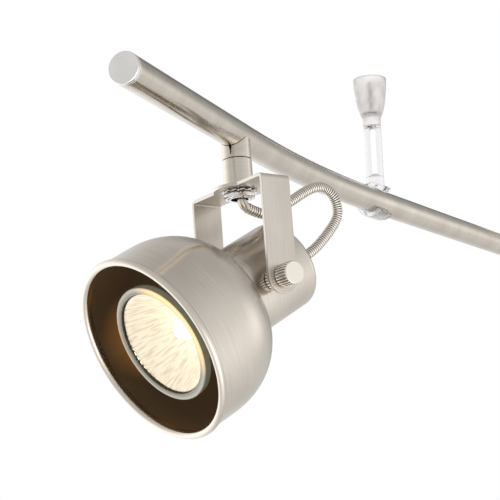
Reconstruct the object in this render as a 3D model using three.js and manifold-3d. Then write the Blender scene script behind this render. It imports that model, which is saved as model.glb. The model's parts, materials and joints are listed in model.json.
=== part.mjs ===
// A ceiling rail light: a gently bent rail hangs on a power-feed canopy and a clear plastic support,
// and carries one swivelling, tilting reflector-lamp head near its end.
// Millimetres, +Z up. The origin is the centre of the canopy strap's top face, on the ceiling.
// Parts of the rail and head are laid out in the stem frame (origin on the rail's centreline above
// the head, +X along the rail) and then shifted so that the strap's top face is the origin.

import * as THREE from 'three';
import { mergeVertices } from 'three/addons/utils/BufferGeometryUtils.js';
import Module from 'manifold-3d';

const wasm = await Module();
wasm.setup();

// ---------------------------------------------------------------- driving dimensions
const gap = 0.3;                        // running gap between neighbouring pieces

const railRadius = 6.35;                // 12.7 mm (half inch) tube
const railWall = 1.0;
const railStart = -99.6;                 // arc length of the tube's near end, from the stem
const railEnd = 533.6;                  // arc length of the tube's far end
const bendStart = 15;                   // where the straight end turns into the bend
const bendLength = 143;
const bendRadius = 800;
const wireHoleRadius = 2.5;
const leadRadius = 1.5;

const capHeadLength = 2.4;              // visible part of a rail end cap
const capPlugLength = 7;

const ceilingHeight = 67.5;             // ceiling above the rail's centreline
const feedAt = 480;                     // arc length of the canopy's feed stem
const supportAt = 158.7;                // arc length of the clear support

const stemRadius = 6.35;                // saddle and sleeve of a stem
const stemBore = 5.2;
const saddleHorn = 2.6;                 // how near the rail's centreline a saddle reaches
const saddleLength = 11.5;              // rail centreline to the saddle's plain end
const notchDepth = 10.4;
const notchWidth = 1.5;

const nippleRadius = 4.9;               // M10 lamp nipple
const nippleBore = 3.8;
const nippleEnd = 29.0;                 // below the rail's centreline
const nutAcrossFlats = 13;
const nutThickness = 1.8;
const washerThickness = 0.8;
const washerRadius = 7.8;
const washerTeeth = 14;

const yokeTop = 24.0;                   // top of the yoke's web, below the rail's centreline
const yokeWidth = 52.1;                 // over the legs' outer faces
const stripWidth = 14.4;
const stripThickness = 1.5;
const yokeBend = 2.2;                   // outer bend radius
const webDiscRadius = 11;
const pivotDrop = 67.4;                 // tilt axis below the rail's centreline
const panAngle = THREE.MathUtils.degToRad(58.3);    // tilt axis from the rail's direction
const tiltAngle = THREE.MathUtils.degToRad(29.4);   // lamp axis below the horizontal

const barrelRadius = 19.5;
const barrelWall = 1.3;
const barrelFront = 13.6;               // along the lamp axis, from the tilt axis
const barrelBack = -24.2;
const barrelFillet = 3;
const coverRadius = 15;
const coverThickness = 2.2;
const collarRadius = 4.3;
const collarEnd = -30.0;
const collarOffset = 2.2;               // conduit entry below the lamp axis

const shadeRadius = 39.2;               // outer wall of the shade
const shadeWall = 1.0;
const shadeShoulder = 40;               // where the straight wall meets the rounded shoulder
const shadeNeck = 13.9;                 // back face of the shade's neck flange
const shadeNeckRadius = 20.2;
const shadeFlangeInner = 16.8;
const rimFront = 57.2;
const rimRoll = 1.55;                   // radius of the rolled rim

const lampFront = 51.2;
const lampRadius = 25;                  // 50 mm reflector lamp
const lampNeckRadius = 9;
const lampNeckEnd = 20;
const lampBaseEnd = 4;
const pinRadius = 1.2;
const pinHeadRadius = 2.3;
const pinSpacing = 10;
const pinEnd = -3.6;
const socketFront = 3.2;
const socketBack = -14;
const socketRadius = 12.5;

const knobRadius = 5.0;
const knobFace = 33.9;                  // from the yoke's middle plane
const knobTeeth = 16;
const shaftRadius = 1.9;
const shaftHole = 2.3;
const shaftEnd = 15.5;

const conduitRadius = 2.3;
const ferruleRadius = 2.1;

// The conduit's centreline in the yoke's middle plane: distance behind the stem, and height
// measured from the rail's centreline.
const ferruleRoute = [
  [1.1, -25.6], [1.1, -27.4], [1.2, -29.2], [1.9, -31.0], [3.4, -32.2], [5.2, -32.9], [7.0, -33.4],
];
const conduitRoute = [
  [7.4, -33.5], [9.8, -34.1], [12.6, -34.3], [16.0, -33.6], [20.0, -31.7], [24.4, -29.1],
  [28.8, -26.5], [33.0, -23.9], [37.2, -21.6], [41.4, -19.9], [45.6, -19.5], [49.2, -20.9],
  [51.9, -23.7], [53.2, -27.4], [53.0, -31.3], [51.2, -35.0], [48.4, -38.4], [45.4, -41.6],
  [42.2, -44.7], [38.8, -47.6], [35.2, -50.1], [31.4, -52.3], [27.6, -54.45], [23.6, -56.7],
];

const cupTopRadius = 8.8;
const cupNeckRadius = 4.7;
const cupHeight = 22.5;                 // ceiling to the foot of the taper
const cupNeckLength = 4;
const cupWall = 1.4;
const supportLean = 2.3;                // degrees, the hook sits turned about the rail
const supportStemRadius = 4.7;
const supportSlot = 3.0;
const supportSlotTurn = 27;             // degrees, from the rail's direction
const supportSlotTop = 39.2;            // above the rail's centreline
const supportSlotFoot = 14;
const hookOuter = 9.4;
const hookLength = 13.5;

const canopyRadius = 54;
const canopyHeight = 20;
const canopyWall = 1.0;
const strapLength = 92;
const strapWidth = 18;
const strapThickness = 2.5;
const strapNutThickness = 4;
const canopyCollarLength = 4.5;
const canopyCollarRadius = 9;

// ---------------------------------------------------------------- materials
const finish = (color, roughness, metalness, extra = {}) =>
  new THREE.MeshStandardMaterial({ color, roughness, metalness, ...extra });

const satinNickel = finish(0xc9c1b6, 0.38, 1.0);
const chrome = finish(0xe4e4e6, 0.06, 1.0);
const darkLining = finish(0x3a2a1a, 0.3, 0.6);
const clearPlastic = finish(0xf4f4f8, 0.12, 0.0, { transparent: true, opacity: 0.35 });
const lampGlass = finish(0xf4efe4, 0.08, 0.0, { transparent: true, opacity: 0.5 });
const litReflector = finish(0xfff0d2, 0.25, 0.4, { emissive: 0xffd9a0, emissiveIntensity: 1.5 });
const ceramic = finish(0xe8e4da, 0.7, 0.0);
const leadPlastic = finish(0xeeeeee, 0.5, 0.0);

// ---------------------------------------------------------------- solids and shapes
function signedVolume(position, index) {
  const a = new THREE.Vector3();
  const b = new THREE.Vector3();
  const c = new THREE.Vector3();
  let sum = 0;
  for (let i = 0; i < index.length; i += 3) {
    a.fromBufferAttribute(position, index[i]);
    b.fromBufferAttribute(position, index[i + 1]);
    c.fromBufferAttribute(position, index[i + 2]);
    sum += a.dot(b.cross(c));
  }
  return sum / 6;
}

// A closed geometry as a manifold solid with its faces pointing out.
function solid(geometry) {
  geometry.deleteAttribute('normal');
  geometry.deleteAttribute('uv');
  const merged = mergeVertices(geometry, 1e-4);
  const index = [];
  for (let i = 0; i < merged.index.count; i += 3) {
    const corners = [0, 1, 2].map((k) => merged.index.getX(i + k));
    if (new Set(corners).size === 3) index.push(...corners);
  }
  if (signedVolume(merged.attributes.position, index) < 0) index.reverse();
  const mesh = new wasm.Mesh({
    numProp: 3,
    vertProperties: new Float32Array(merged.attributes.position.array),
    triVerts: new Uint32Array(index),
  });
  return new wasm.Manifold(mesh);
}

function toGeometry(body) {
  const { vertProperties, triVerts } = body.getMesh();
  const geometry = new THREE.BufferGeometry();
  geometry.setAttribute('position', new THREE.BufferAttribute(new Float32Array(vertProperties), 3));
  geometry.setIndex(new THREE.BufferAttribute(new Uint32Array(triVerts), 1));
  geometry.computeVertexNormals();
  return geometry;
}

function piece(name, body, material) {
  const mesh = new THREE.Mesh(toGeometry(body), material);
  mesh.name = name;
  return mesh;
}

// An outline of [radius, height] points turned about Z.
function turned(outline, segments = 24) {
  const points = outline.map(([r, h]) => new THREE.Vector2(r, h));
  const onAxis = outline[0][0] === 0 && outline[outline.length - 1][0] === 0;
  if (!onAxis) points.push(points[0].clone());
  return solid(new THREE.LatheGeometry(points, segments).rotateX(Math.PI / 2));
}

function disc(radius, low, high, segments = 24) {
  return turned([[0, low], [radius, low], [radius, high], [0, high]], segments);
}

function ring(inner, outer, low, high, segments = 24) {
  return turned([[inner, low], [outer, low], [outer, high], [inner, high]], segments);
}

// A round bar along X, Y or Z, centred on a point.
function bar(radius, length, axis, [x, y, z] = [0, 0, 0], segments = 20) {
  const geometry = new THREE.CylinderGeometry(radius, radius, length, segments);
  if (axis === 'x') geometry.rotateZ(Math.PI / 2);
  if (axis === 'z') geometry.rotateX(Math.PI / 2);
  return solid(geometry.translate(x, y, z));
}

function block(sizeX, sizeY, sizeZ, [x, y, z]) {
  return solid(new THREE.BoxGeometry(sizeX, sizeY, sizeZ).translate(x, y, z));
}

// A flat shape in X and Y, given thickness from one height to another.
function slab(shape, low, high, curveSegments = 10) {
  const settings = { depth: high - low, bevelEnabled: false, curveSegments };
  return solid(new THREE.ExtrudeGeometry(shape, settings).translate(0, 0, low));
}

function circlePoints(radius, count, turn = 0) {
  return Array.from({ length: count }, (_, i) => {
    const angle = turn + (2 * Math.PI * i) / count;
    return new THREE.Vector2(radius * Math.cos(angle), radius * Math.sin(angle));
  });
}

// A round or hollow section swept along a curve.
function swept(curve, radius, sides, steps, bore = 0) {
  const shape = new THREE.Shape(circlePoints(radius, sides));
  if (bore > 0) shape.holes.push(new THREE.Path(circlePoints(bore, sides).reverse()));
  return solid(new THREE.ExtrudeGeometry(shape, { steps, extrudePath: curve, bevelEnabled: false }));
}

// A toothed outline: alternating outer and inner points.
function toothedShape(outer, inner, teeth) {
  const points = circlePoints(1, teeth * 2).map((p, i) => p.multiplyScalar(i % 2 ? inner : outer));
  return new THREE.Shape(points);
}

// ---------------------------------------------------------------- the rail's line
function railPoint(s) {
  const along = Math.max(0, Math.min(s - bendStart, bendLength));
  const turn = along / bendRadius;
  const before = Math.min(s, bendStart);
  const after = Math.max(s - bendStart - bendLength, 0);
  return {
    x: before + bendRadius * Math.sin(turn) + after * Math.cos(turn),
    y: -bendRadius * (1 - Math.cos(turn)) - after * Math.sin(turn),
    heading: -turn,
  };
}

class RailLine extends THREE.Curve {
  constructor(from, to) {
    super();
    this.from = from;
    this.to = to;
  }

  getPoint(t, target = new THREE.Vector3()) {
    const { x, y } = railPoint(this.from + t * (this.to - this.from));
    return target.set(x, y, 0);
  }
}

// A group standing on the rail's centreline at an arc length, turned to the rail's direction.
function onRail(s) {
  const { x, y, heading } = railPoint(s);
  const group = new THREE.Group();
  group.position.set(x, y, 0);
  group.rotation.z = heading;
  return group;
}

// ---------------------------------------------------------------- rail pieces
function railTube() {
  const tube = swept(new RailLine(railStart, railEnd), railRadius, 16, 18, railRadius - railWall);
  const feed = railPoint(feedAt);
  const headHole = bar(wireHoleRadius, 2 * railRadius, 'z', [0, 0, -railRadius], 12);
  const feedHole = bar(wireHoleRadius, 2 * railRadius, 'z', [feed.x, feed.y, railRadius], 12);
  return piece('rail_tube', tube.subtract(headHole).subtract(feedHole), satinNickel);
}

// A turned cap: a plug inside the tube and a thin polished head outside it. Its head faces +Z.
function endCap(name, s, outward) {
  const plug = railRadius - railWall - gap;
  const edge = 0.4;
  const body = turned([
    [0, -capPlugLength], [plug, -capPlugLength], [plug, gap], [railRadius, gap],
    [railRadius, capHeadLength - edge], [railRadius - edge, capHeadLength], [0, capHeadLength],
  ], 20);
  const cap = piece(name, body, chrome);
  cap.rotation.y = outward * Math.PI / 2;
  return onRail(s).add(cap);
}

function railLead() {
  const lead = swept(new RailLine(6, feedAt - 6), leadRadius, 6, 16);
  return piece('rail_lead', lead, leadPlastic);
}

// A short tube coped to the rail's underside, split by a narrow V on the side along the rail.
function saddleBody() {
  const tube = ring(stemBore, stemRadius, -saddleLength, -saddleHorn);
  const cope = bar(railRadius + gap, 4 * stemRadius, 'x', [0, 0, 0], 24);
  const notch = new THREE.Shape([
    new THREE.Vector2(-notchWidth / 2, -railRadius + 1.5),
    new THREE.Vector2(notchWidth / 2, -railRadius + 1.5),
    new THREE.Vector2(0.2, -notchDepth),
    new THREE.Vector2(-0.2, -notchDepth),
  ]);
  const notchDepthX = 2 * (stemRadius - stemBore);
  const wedge = new THREE.ExtrudeGeometry(notch, { depth: notchDepthX, bevelEnabled: false });
  wedge.rotateX(Math.PI / 2);
  wedge.rotateZ(Math.PI / 2);
  wedge.translate(-stemRadius - 0.5, 0, 0);
  return tube.subtract(cope).subtract(solid(wedge));
}

// ---------------------------------------------------------------- swivel: sleeve, nipple, yoke
function stemSleeve() {
  const body = ring(stemBore, stemRadius, -yokeTop + gap, -saddleLength - gap);
  return piece('stem_sleeve', body, satinNickel);
}

function swivelNipple() {
  const top = -railRadius - 2 * gap;
  return piece('swivel_nipple', ring(nippleBore, nippleRadius, -nippleEnd, top, 20), chrome);
}

function yoke() {
  const half = yokeWidth / 2;
  const foot = -pivotDrop - stripWidth / 2;
  const innerBend = yokeBend - stripThickness;
  const inner = half - stripThickness;
  const section = new THREE.Shape();
  section.moveTo(-half, foot);
  section.lineTo(-half, -yokeTop - yokeBend);
  section.absarc(-half + yokeBend, -yokeTop - yokeBend, yokeBend, Math.PI, Math.PI / 2, true);
  section.lineTo(half - yokeBend, -yokeTop);
  section.absarc(half - yokeBend, -yokeTop - yokeBend, yokeBend, Math.PI / 2, 0, true);
  section.lineTo(half, foot);
  section.lineTo(inner, foot);
  section.lineTo(inner, -yokeTop - yokeBend);
  section.absarc(inner - innerBend, -yokeTop - yokeBend, innerBend, 0, Math.PI / 2, false);
  section.lineTo(-inner + innerBend, -yokeTop - stripThickness);
  section.absarc(-inner + innerBend, -yokeTop - yokeBend, innerBend, Math.PI / 2, Math.PI, false);
  section.lineTo(-inner, foot);
  const strip = new THREE.ExtrudeGeometry(section, {
    depth: stripWidth, bevelEnabled: false, curveSegments: 4,
  });
  strip.rotateX(Math.PI / 2);
  strip.translate(0, stripWidth / 2, 0);

  const side = new THREE.Shape();
  side.moveTo(-stripWidth / 2, 0);
  side.lineTo(-stripWidth / 2, -pivotDrop);
  side.absarc(0, -pivotDrop, stripWidth / 2, Math.PI, 2 * Math.PI, false);
  side.lineTo(stripWidth / 2, 0);
  const sideSlab = new THREE.ExtrudeGeometry(side, {
    depth: yokeWidth + 2, bevelEnabled: false, curveSegments: 10,
  });
  sideSlab.rotateX(Math.PI / 2);
  sideSlab.rotateZ(Math.PI / 2);
  sideSlab.translate(-half - 1, 0, 0);

  const webDisc = disc(webDiscRadius, -yokeTop - stripThickness, -yokeTop, 28);
  const pivotHoles = bar(shaftHole, yokeWidth + 2, 'x', [0, 0, -pivotDrop], 12);
  const nippleHole = bar(stemBore, 10, 'z', [0, 0, -yokeTop], 20);
  const body = solid(strip).intersect(solid(sideSlab)).add(webDisc);
  return piece('yoke', body.subtract(pivotHoles).subtract(nippleHole), satinNickel);
}

const washerTop = -yokeTop - stripThickness - gap;
const nutTop = washerTop - washerThickness - gap;

function lockWasher() {
  const shape = toothedShape(washerRadius, washerRadius - 1.4, washerTeeth);
  shape.holes.push(new THREE.Path(circlePoints(stemBore, 20).reverse()));
  return piece('lock_washer', slab(shape, washerTop - washerThickness, washerTop), chrome);
}

function hexNut(name, acrossFlats, low, high) {
  const shape = new THREE.Shape(circlePoints(acrossFlats / Math.sqrt(3), 6, Math.PI / 7));
  shape.holes.push(new THREE.Path(circlePoints(stemBore, 20).reverse()));
  return piece(name, slab(shape, low, high), chrome);
}

function routeCurve(route) {
  const points = route.map(([behind, z]) => new THREE.Vector3(0, -behind, z));
  return new THREE.CatmullRomCurve3(points, false, 'centripetal');
}

function conduitFerrule() {
  return piece('conduit_ferrule', swept(routeCurve(ferruleRoute), ferruleRadius, 10, 8), chrome);
}

function flexConduit() {
  return piece('flex_conduit', swept(routeCurve(conduitRoute), conduitRadius, 8, 26), satinNickel);
}

// ---------------------------------------------------------------- head: barrel, shade, socket
// In the head's frame the lamp shines along +Z, X is the tilt axis and +Y is the lower side.
function barrel() {
  const inner = barrelRadius - barrelWall;
  const outerArc = [0, 45, 90].map((degrees) => {
    const angle = THREE.MathUtils.degToRad(degrees);
    return [
      barrelRadius - barrelFillet * (1 - Math.cos(angle)),
      barrelBack + barrelFillet * (1 - Math.sin(angle)),
    ];
  });
  const body = turned([
    [barrelRadius, barrelFront], ...outerArc, [8, barrelBack], [8, barrelBack + barrelWall],
    [barrelRadius - barrelFillet, barrelBack + barrelWall],
    [inner, barrelBack + barrelFillet], [inner, barrelFront],
  ], 28);
  const shaftHoles = bar(shaftHole, 3 * barrelRadius, 'x', [0, 0, 0], 12);
  return piece('barrel', body.subtract(shaftHoles), satinNickel);
}

function rearCover() {
  const top = barrelBack - gap;
  const plate = turned([
    [0, top - coverThickness], [coverRadius - 0.8, top - coverThickness],
    [coverRadius, top - coverThickness + 0.8], [coverRadius, top], [0, top],
  ], 24);
  const length = top - collarEnd;
  const middle = (top + collarEnd) / 2;
  const collar = bar(collarRadius, length, 'z', [0, collarOffset, middle], 16);
  const bore = bar(conduitRadius + gap, 4 * length, 'z', [0, collarOffset, middle], 12);
  return piece('rear_cover', plate.add(collar).subtract(bore), satinNickel);
}

function shade() {
  const steps = 5;
  const outerRise = shadeShoulder - shadeNeck;
  const outerDrop = shadeRadius - shadeNeckRadius;
  const quarter = (radius, rise, drop, i) => {
    const angle = (Math.PI / 2) * (i / steps);
    return [radius - drop * (1 - Math.cos(angle)), shadeShoulder - rise * Math.sin(angle)];
  };
  const outer = [];
  const inner = [];
  for (let i = steps; i >= 0; i -= 1) outer.push(quarter(shadeRadius, outerRise, outerDrop, i));
  for (let i = 0; i <= steps; i += 1) {
    inner.push(quarter(shadeRadius - shadeWall, outerRise - shadeWall, outerDrop, i));
  }
  const rollRadius = shadeRadius - 0.7;
  const rollCentre = rimFront - rimRoll;
  const roll = [-60, -15, 30, 75, 120, 165, 210, 240].map((degrees) => {
    const angle = THREE.MathUtils.degToRad(degrees);
    return [rollRadius + rimRoll * Math.cos(angle), rollCentre + rimRoll * Math.sin(angle)];
  });
  const flange = [[shadeFlangeInner, shadeNeck + shadeWall], [shadeFlangeInner, shadeNeck]];
  return piece('shade', turned([...outer, ...roll, ...inner, ...flange], 32), satinNickel);
}

// A ceramic block with a ring-shaped channel for the lamp's two pins.
function lampSocket() {
  const channelInner = pinSpacing / 2 - pinHeadRadius - gap;
  const channelOuter = pinSpacing / 2 + pinHeadRadius + gap;
  const channelFloor = pinEnd - 1;
  const body = turned([
    [0, socketBack], [socketRadius, socketBack], [socketRadius, socketFront],
    [channelOuter, socketFront], [channelOuter, channelFloor], [channelInner, channelFloor],
    [channelInner, socketFront], [0, socketFront],
  ], 20);
  return piece('lamp_socket', body, ceramic);
}

function socketBracket() {
  const outer = barrelRadius - barrelWall - gap;
  const body = ring(4.5, outer, socketBack - gap - 1.2, socketBack - gap);
  return piece('socket_bracket', body, chrome);
}

function knurledSpacer(name, side) {
  const inside = barrelRadius + gap;
  const outside = yokeWidth / 2 - stripThickness - gap;
  const shape = toothedShape(knobRadius, knobRadius - 0.3, knobTeeth);
  shape.holes.push(new THREE.Path(circlePoints(shaftHole, 12).reverse()));
  const spacer = piece(name, slab(shape, inside, outside), satinNickel);
  spacer.rotation.y = side * Math.PI / 2;
  return spacer;
}

// A knurled thumb knob with its threaded shaft, which runs through the leg into the barrel.
function knob(name, side) {
  const seat = yokeWidth / 2 + gap;
  const edge = 0.6;
  const grip = slab(toothedShape(knobRadius, knobRadius - 0.3, knobTeeth), seat, knobFace - edge);
  const face = turned([
    [0, knobFace - edge], [knobRadius - 0.15, knobFace - edge], [knobRadius - edge, knobFace],
    [0, knobFace],
  ], 16);
  const shaft = disc(shaftRadius, shaftEnd, seat + 1, 10);
  const body = piece(name, grip.add(face).add(shaft), satinNickel);
  body.rotation.y = side * Math.PI / 2;
  return body;
}

// ---------------------------------------------------------------- lamp
function lampReflector() {
  const body = turned([
    [lampNeckRadius, lampNeckEnd], [12.4, 26], [16.4, 31.5], [20.0, 38], [23.6, 47.2],
    [lampRadius, 49.2], [lampRadius, lampFront], [23.7, lampFront], [23.7, 49.9], [22.3, 49.9],
    [18.7, 38], [15.2, 31.8], [11.2, 27], [4.8, 24.2], [4.8, lampNeckEnd],
  ], 28);
  return piece('lamp_reflector', body, litReflector);
}

function lampGlassFront() {
  return piece('lamp_cover_glass', disc(23.4, 50.2, 51.4), lampGlass);
}

function lampCapsule() {
  const body = turned([
    [0, 21.5], [3.2, 21.5], [3.2, 24.8], [4.6, 27], [4.6, 37], [2.4, 40], [0, 41],
  ], 12);
  return piece('lamp_capsule', body, litReflector);
}

function lampBase() {
  const top = lampNeckEnd - gap;
  const body = turned([
    [0, lampBaseEnd], [8.2, lampBaseEnd], [lampNeckRadius, lampBaseEnd + 0.8],
    [lampNeckRadius, top], [0, top],
  ], 20);
  return piece('lamp_base', body, ceramic);
}

function lampPin(name, side) {
  const top = lampBaseEnd - gap;
  const headTop = pinEnd + 2;
  const body = turned([
    [0, pinEnd], [pinHeadRadius, pinEnd], [pinHeadRadius, headTop], [pinRadius, headTop],
    [pinRadius, top], [0, top],
  ], 10);
  const pin = piece(name, body, chrome);
  pin.position.x = side * pinSpacing / 2;
  return pin;
}

// ---------------------------------------------------------------- clear ceiling support
// The tulip-shaped cup leans with the hook; its rim is trimmed flat where it meets the ceiling.
function supportCup() {
  const foot = ceilingHeight - cupHeight;
  const top = ceilingHeight + 1;
  const outer = [[5.4, foot + 1.5], [6.5, foot + 4.5], [7.75, foot + 10], [8.4, foot + 15]];
  const inner = outer.slice(1).reverse().map(([radius, height]) => [radius - cupWall, height]);
  const body = turned([
    [0, foot - cupNeckLength], [cupNeckRadius, foot - cupNeckLength], [cupNeckRadius, foot],
    ...outer, [cupTopRadius, foot + 19], [cupTopRadius, top],
    [cupTopRadius - cupWall, top], [cupTopRadius - cupWall, foot + 19],
    ...inner, [3.6, foot + 2.6], [0, foot + 2.6],
  ], 24);
  const ceiling = block(60, 60, 20, [0, 0, ceilingHeight + 10]).rotate([-supportLean, 0, 0]);
  return piece('support_cup', body.subtract(ceiling), clearPlastic);
}

function supportScrew() {
  const seat = ceilingHeight - cupHeight + 2.6 + gap;
  const body = turned([
    [0, seat], [3.2, seat], [3.0, seat + 1.7], [1.6, seat + 2.2], [1.6, ceilingHeight - 2],
    [0, ceilingHeight - 1],
  ], 12);
  return piece('support_screw', body, chrome);
}

// Slotted stem, foot and open hook in one clear moulding: the hook passes behind and under the rail.
function supportHook() {
  const top = ceilingHeight - cupHeight - cupNeckLength - gap;
  const foot = railRadius + 2 * gap;
  const stem = bar(supportStemRadius, top - foot, 'z', [0, 0, (top + foot) / 2], 18);
  const slotHeight = supportSlotTop - supportSlotFoot;
  const slotMiddle = (supportSlotTop + supportSlotFoot) / 2;
  const slot = block(30, supportSlot, slotHeight, [0, 0, slotMiddle])
    .add(bar(supportSlot / 2, 30, 'x', [0, 0, supportSlotTop], 12))
    .rotate([0, 0, supportSlotTurn]);
  const inner = railRadius + gap;
  const mouthFrom = THREE.MathUtils.degToRad(-128);
  const mouthTo = THREE.MathUtils.degToRad(128);
  const arch = new THREE.Shape();
  arch.absarc(0, 0, hookOuter, mouthTo, mouthFrom, true);
  arch.absarc(0, 0, inner, mouthFrom, mouthTo, false);
  const hook = new THREE.ExtrudeGeometry(arch, {
    depth: hookLength, bevelEnabled: false, curveSegments: 12,
  });
  hook.rotateX(Math.PI / 2);
  hook.rotateZ(Math.PI / 2);
  hook.translate(-hookLength / 2, 0, 0);
  const tab = block(9, 3.4, 1.3, [6.2, -1.5, hookOuter - 0.9]);
  const body = stem.subtract(slot).add(solid(hook)).add(tab);
  const clearance = bar(inner, 60, 'x', [0, 0, 0], 24);
  return piece('support_hook', body.subtract(clearance), clearPlastic);
}

// ---------------------------------------------------------------- power feed at the ceiling
function canopyShell() {
  const top = ceilingHeight;
  const foot = top - canopyHeight;
  const body = turned([
    [canopyRadius - canopyWall, top], [canopyRadius - canopyWall, top - 7],
    [canopyRadius - 4, top - 13.5], [canopyRadius - 12, foot + 2.2 + canopyWall],
    [26, foot + canopyWall], [stemBore, foot + canopyWall], [stemBore, foot], [26, foot],
    [canopyRadius - 11.5, foot + 2], [canopyRadius - 3.2, top - 14],
    [canopyRadius, top - 7], [canopyRadius, top],
  ], 32);
  return piece('canopy_shell', body, satinNickel);
}

function mountingStrap() {
  const body = block(strapLength, strapWidth, strapThickness,
    [0, 0, ceilingHeight - strapThickness / 2]);
  const slots = [-1, 1].map((side) => block(10, 4.4, 3 * strapThickness,
    [side * 36, 0, ceilingHeight]));
  return piece('mounting_strap', body.subtract(slots[0]).subtract(slots[1]), chrome);
}

function feedNipple() {
  const top = ceilingHeight - strapThickness - gap;
  return piece('feed_nipple', ring(nippleBore, nippleRadius, 8, top, 20), chrome);
}

function canopyCollar() {
  const top = ceilingHeight - canopyHeight - gap;
  const body = turned([
    [stemBore, top - canopyCollarLength], [stemRadius + 0.6, top - canopyCollarLength],
    [canopyCollarRadius, top - canopyCollarLength + 1.4], [canopyCollarRadius, top],
    [stemBore, top],
  ], 24);
  return piece('canopy_collar', body, satinNickel);
}

function feedStem() {
  const top = ceilingHeight - canopyHeight - canopyCollarLength - 2 * gap;
  const foot = saddleLength + gap;
  return piece('feed_stem', ring(stemBore, stemRadius, foot, top), satinNickel);
}

// ---------------------------------------------------------------- assembly
function headGroup() {
  const head = new THREE.Group();
  head.position.z = -pivotDrop;
  head.rotation.x = -Math.PI / 2 - tiltAngle;
  head.add(
    barrel(), rearCover(), shade(), lampSocket(), socketBracket(),
    knurledSpacer('spacer_near', -1), knurledSpacer('spacer_far', 1),
    knob('knob_near', -1), knob('knob_far', 1),
    lampReflector(), lampGlassFront(), lampCapsule(), lampBase(),
    lampPin('lamp_pin_a', -1), lampPin('lamp_pin_b', 1),
  );
  return head;
}

function swivelGroup() {
  const swivel = new THREE.Group();
  swivel.rotation.z = panAngle;
  const nutLow = nutTop - nutThickness;
  swivel.add(
    stemSleeve(), swivelNipple(), yoke(), lockWasher(),
    hexNut('nipple_nut', nutAcrossFlats, nutLow, nutTop),
    conduitFerrule(), flexConduit(), headGroup(),
  );
  return swivel;
}

function supportGroup() {
  const support = new THREE.Group();
  support.rotation.x = THREE.MathUtils.degToRad(supportLean);
  support.add(supportCup(), supportScrew(), supportHook());
  return onRail(supportAt).add(support);
}

function feedGroup() {
  const saddle = piece('feed_saddle', saddleBody(), satinNickel);
  saddle.rotation.x = Math.PI;
  const nutHigh = ceilingHeight - strapThickness - gap;
  return onRail(feedAt).add(
    saddle, canopyShell(), mountingStrap(), feedNipple(), canopyCollar(), feedStem(),
    hexNut('strap_nut', nutAcrossFlats + 2, nutHigh - strapNutThickness, nutHigh),
  );
}

const fixture = new THREE.Group();
const origin = railPoint(feedAt);
fixture.position.set(-origin.x, -origin.y, -ceilingHeight);
fixture.add(
  railTube(), railLead(), endCap('end_cap_near', railStart, -1), endCap('end_cap_far', railEnd, 1),
  piece('head_saddle', saddleBody(), satinNickel),
  swivelGroup(), supportGroup(), feedGroup(),
);
fixture.updateMatrixWorld(true);

export default fixture;
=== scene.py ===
"""The looks of the ceiling rail light: every visible CAD node gets a finely modelled piece and a finish."""
import json
import math
import random

import bmesh
import bpy
import numpy as np
from mathutils import Matrix, Vector


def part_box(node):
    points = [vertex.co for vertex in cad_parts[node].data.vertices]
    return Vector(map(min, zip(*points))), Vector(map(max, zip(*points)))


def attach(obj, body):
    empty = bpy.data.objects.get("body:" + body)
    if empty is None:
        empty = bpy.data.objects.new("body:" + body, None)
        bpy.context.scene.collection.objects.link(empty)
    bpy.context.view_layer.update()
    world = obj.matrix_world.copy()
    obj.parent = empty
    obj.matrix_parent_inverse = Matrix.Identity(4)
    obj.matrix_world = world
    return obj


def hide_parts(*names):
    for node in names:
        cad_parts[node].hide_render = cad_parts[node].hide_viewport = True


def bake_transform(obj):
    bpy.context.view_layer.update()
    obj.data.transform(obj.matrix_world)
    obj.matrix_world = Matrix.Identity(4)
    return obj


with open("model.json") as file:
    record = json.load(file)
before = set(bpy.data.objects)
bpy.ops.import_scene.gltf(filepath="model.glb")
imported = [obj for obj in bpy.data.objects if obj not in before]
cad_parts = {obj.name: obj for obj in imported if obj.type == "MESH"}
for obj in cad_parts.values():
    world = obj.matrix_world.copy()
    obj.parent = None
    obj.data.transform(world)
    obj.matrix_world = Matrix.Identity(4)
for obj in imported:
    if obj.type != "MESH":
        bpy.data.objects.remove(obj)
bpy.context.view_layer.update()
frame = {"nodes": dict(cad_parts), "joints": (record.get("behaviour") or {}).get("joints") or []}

random.seed(11)
MM = 0.001
GRAIN = "grain"

# ---------------------------------------- frames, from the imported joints
joints = {joint["name"]: joint for joint in frame["joints"]}
pan_at = joints["head_pan"]["pos_m"]
pivot = Vector(joints["head_tilt"]["pos_m"])
tilt_axis = -Vector(joints["head_tilt"]["axis"])
lamp_axis = Vector(joints["lamp_twist"]["axis"])
rail_low, rail_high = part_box("rail_tube")
rail_z = (rail_low[2] + rail_high[2]) / 2
PIVOT_DROP = (rail_z - pivot.z) / MM


def frame_matrix(origin, x_axis, z_axis):
    """A right-handed frame at a point in the row frame, from its X and Z directions."""
    x_axis, z_axis = Vector(x_axis).normalized(), Vector(z_axis).normalized()
    y_axis = z_axis.cross(x_axis)
    matrix = Matrix((x_axis, y_axis, z_axis)).transposed().to_4x4()
    matrix.translation = Vector(origin)
    return matrix


UP = Vector((0, 0, 1))
STEM = frame_matrix((pan_at[0], pan_at[1], rail_z), (1, 0, 0), UP)
SWIVEL = frame_matrix(STEM.translation, tilt_axis, UP)
HEAD = frame_matrix(pivot, tilt_axis, lamp_axis)


def moved(matrix, x=0, y=0, z=0):
    return matrix @ Matrix.Translation(Vector((x, y, z)) * MM)


def turned_about(matrix, axis, degrees):
    return matrix @ Matrix.Rotation(math.radians(degrees), 4, axis)


# ---------------------------------------- camera
CAMERA_AT = Vector((-534.6, -219.8, -174.0)) * MM     # from the rail's centreline above the head
CAMERA_YAW, CAMERA_PITCH, CAMERA_ROLL = 22.08, 12.0, -4.286
CAMERA_LENS = 100.8

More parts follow.
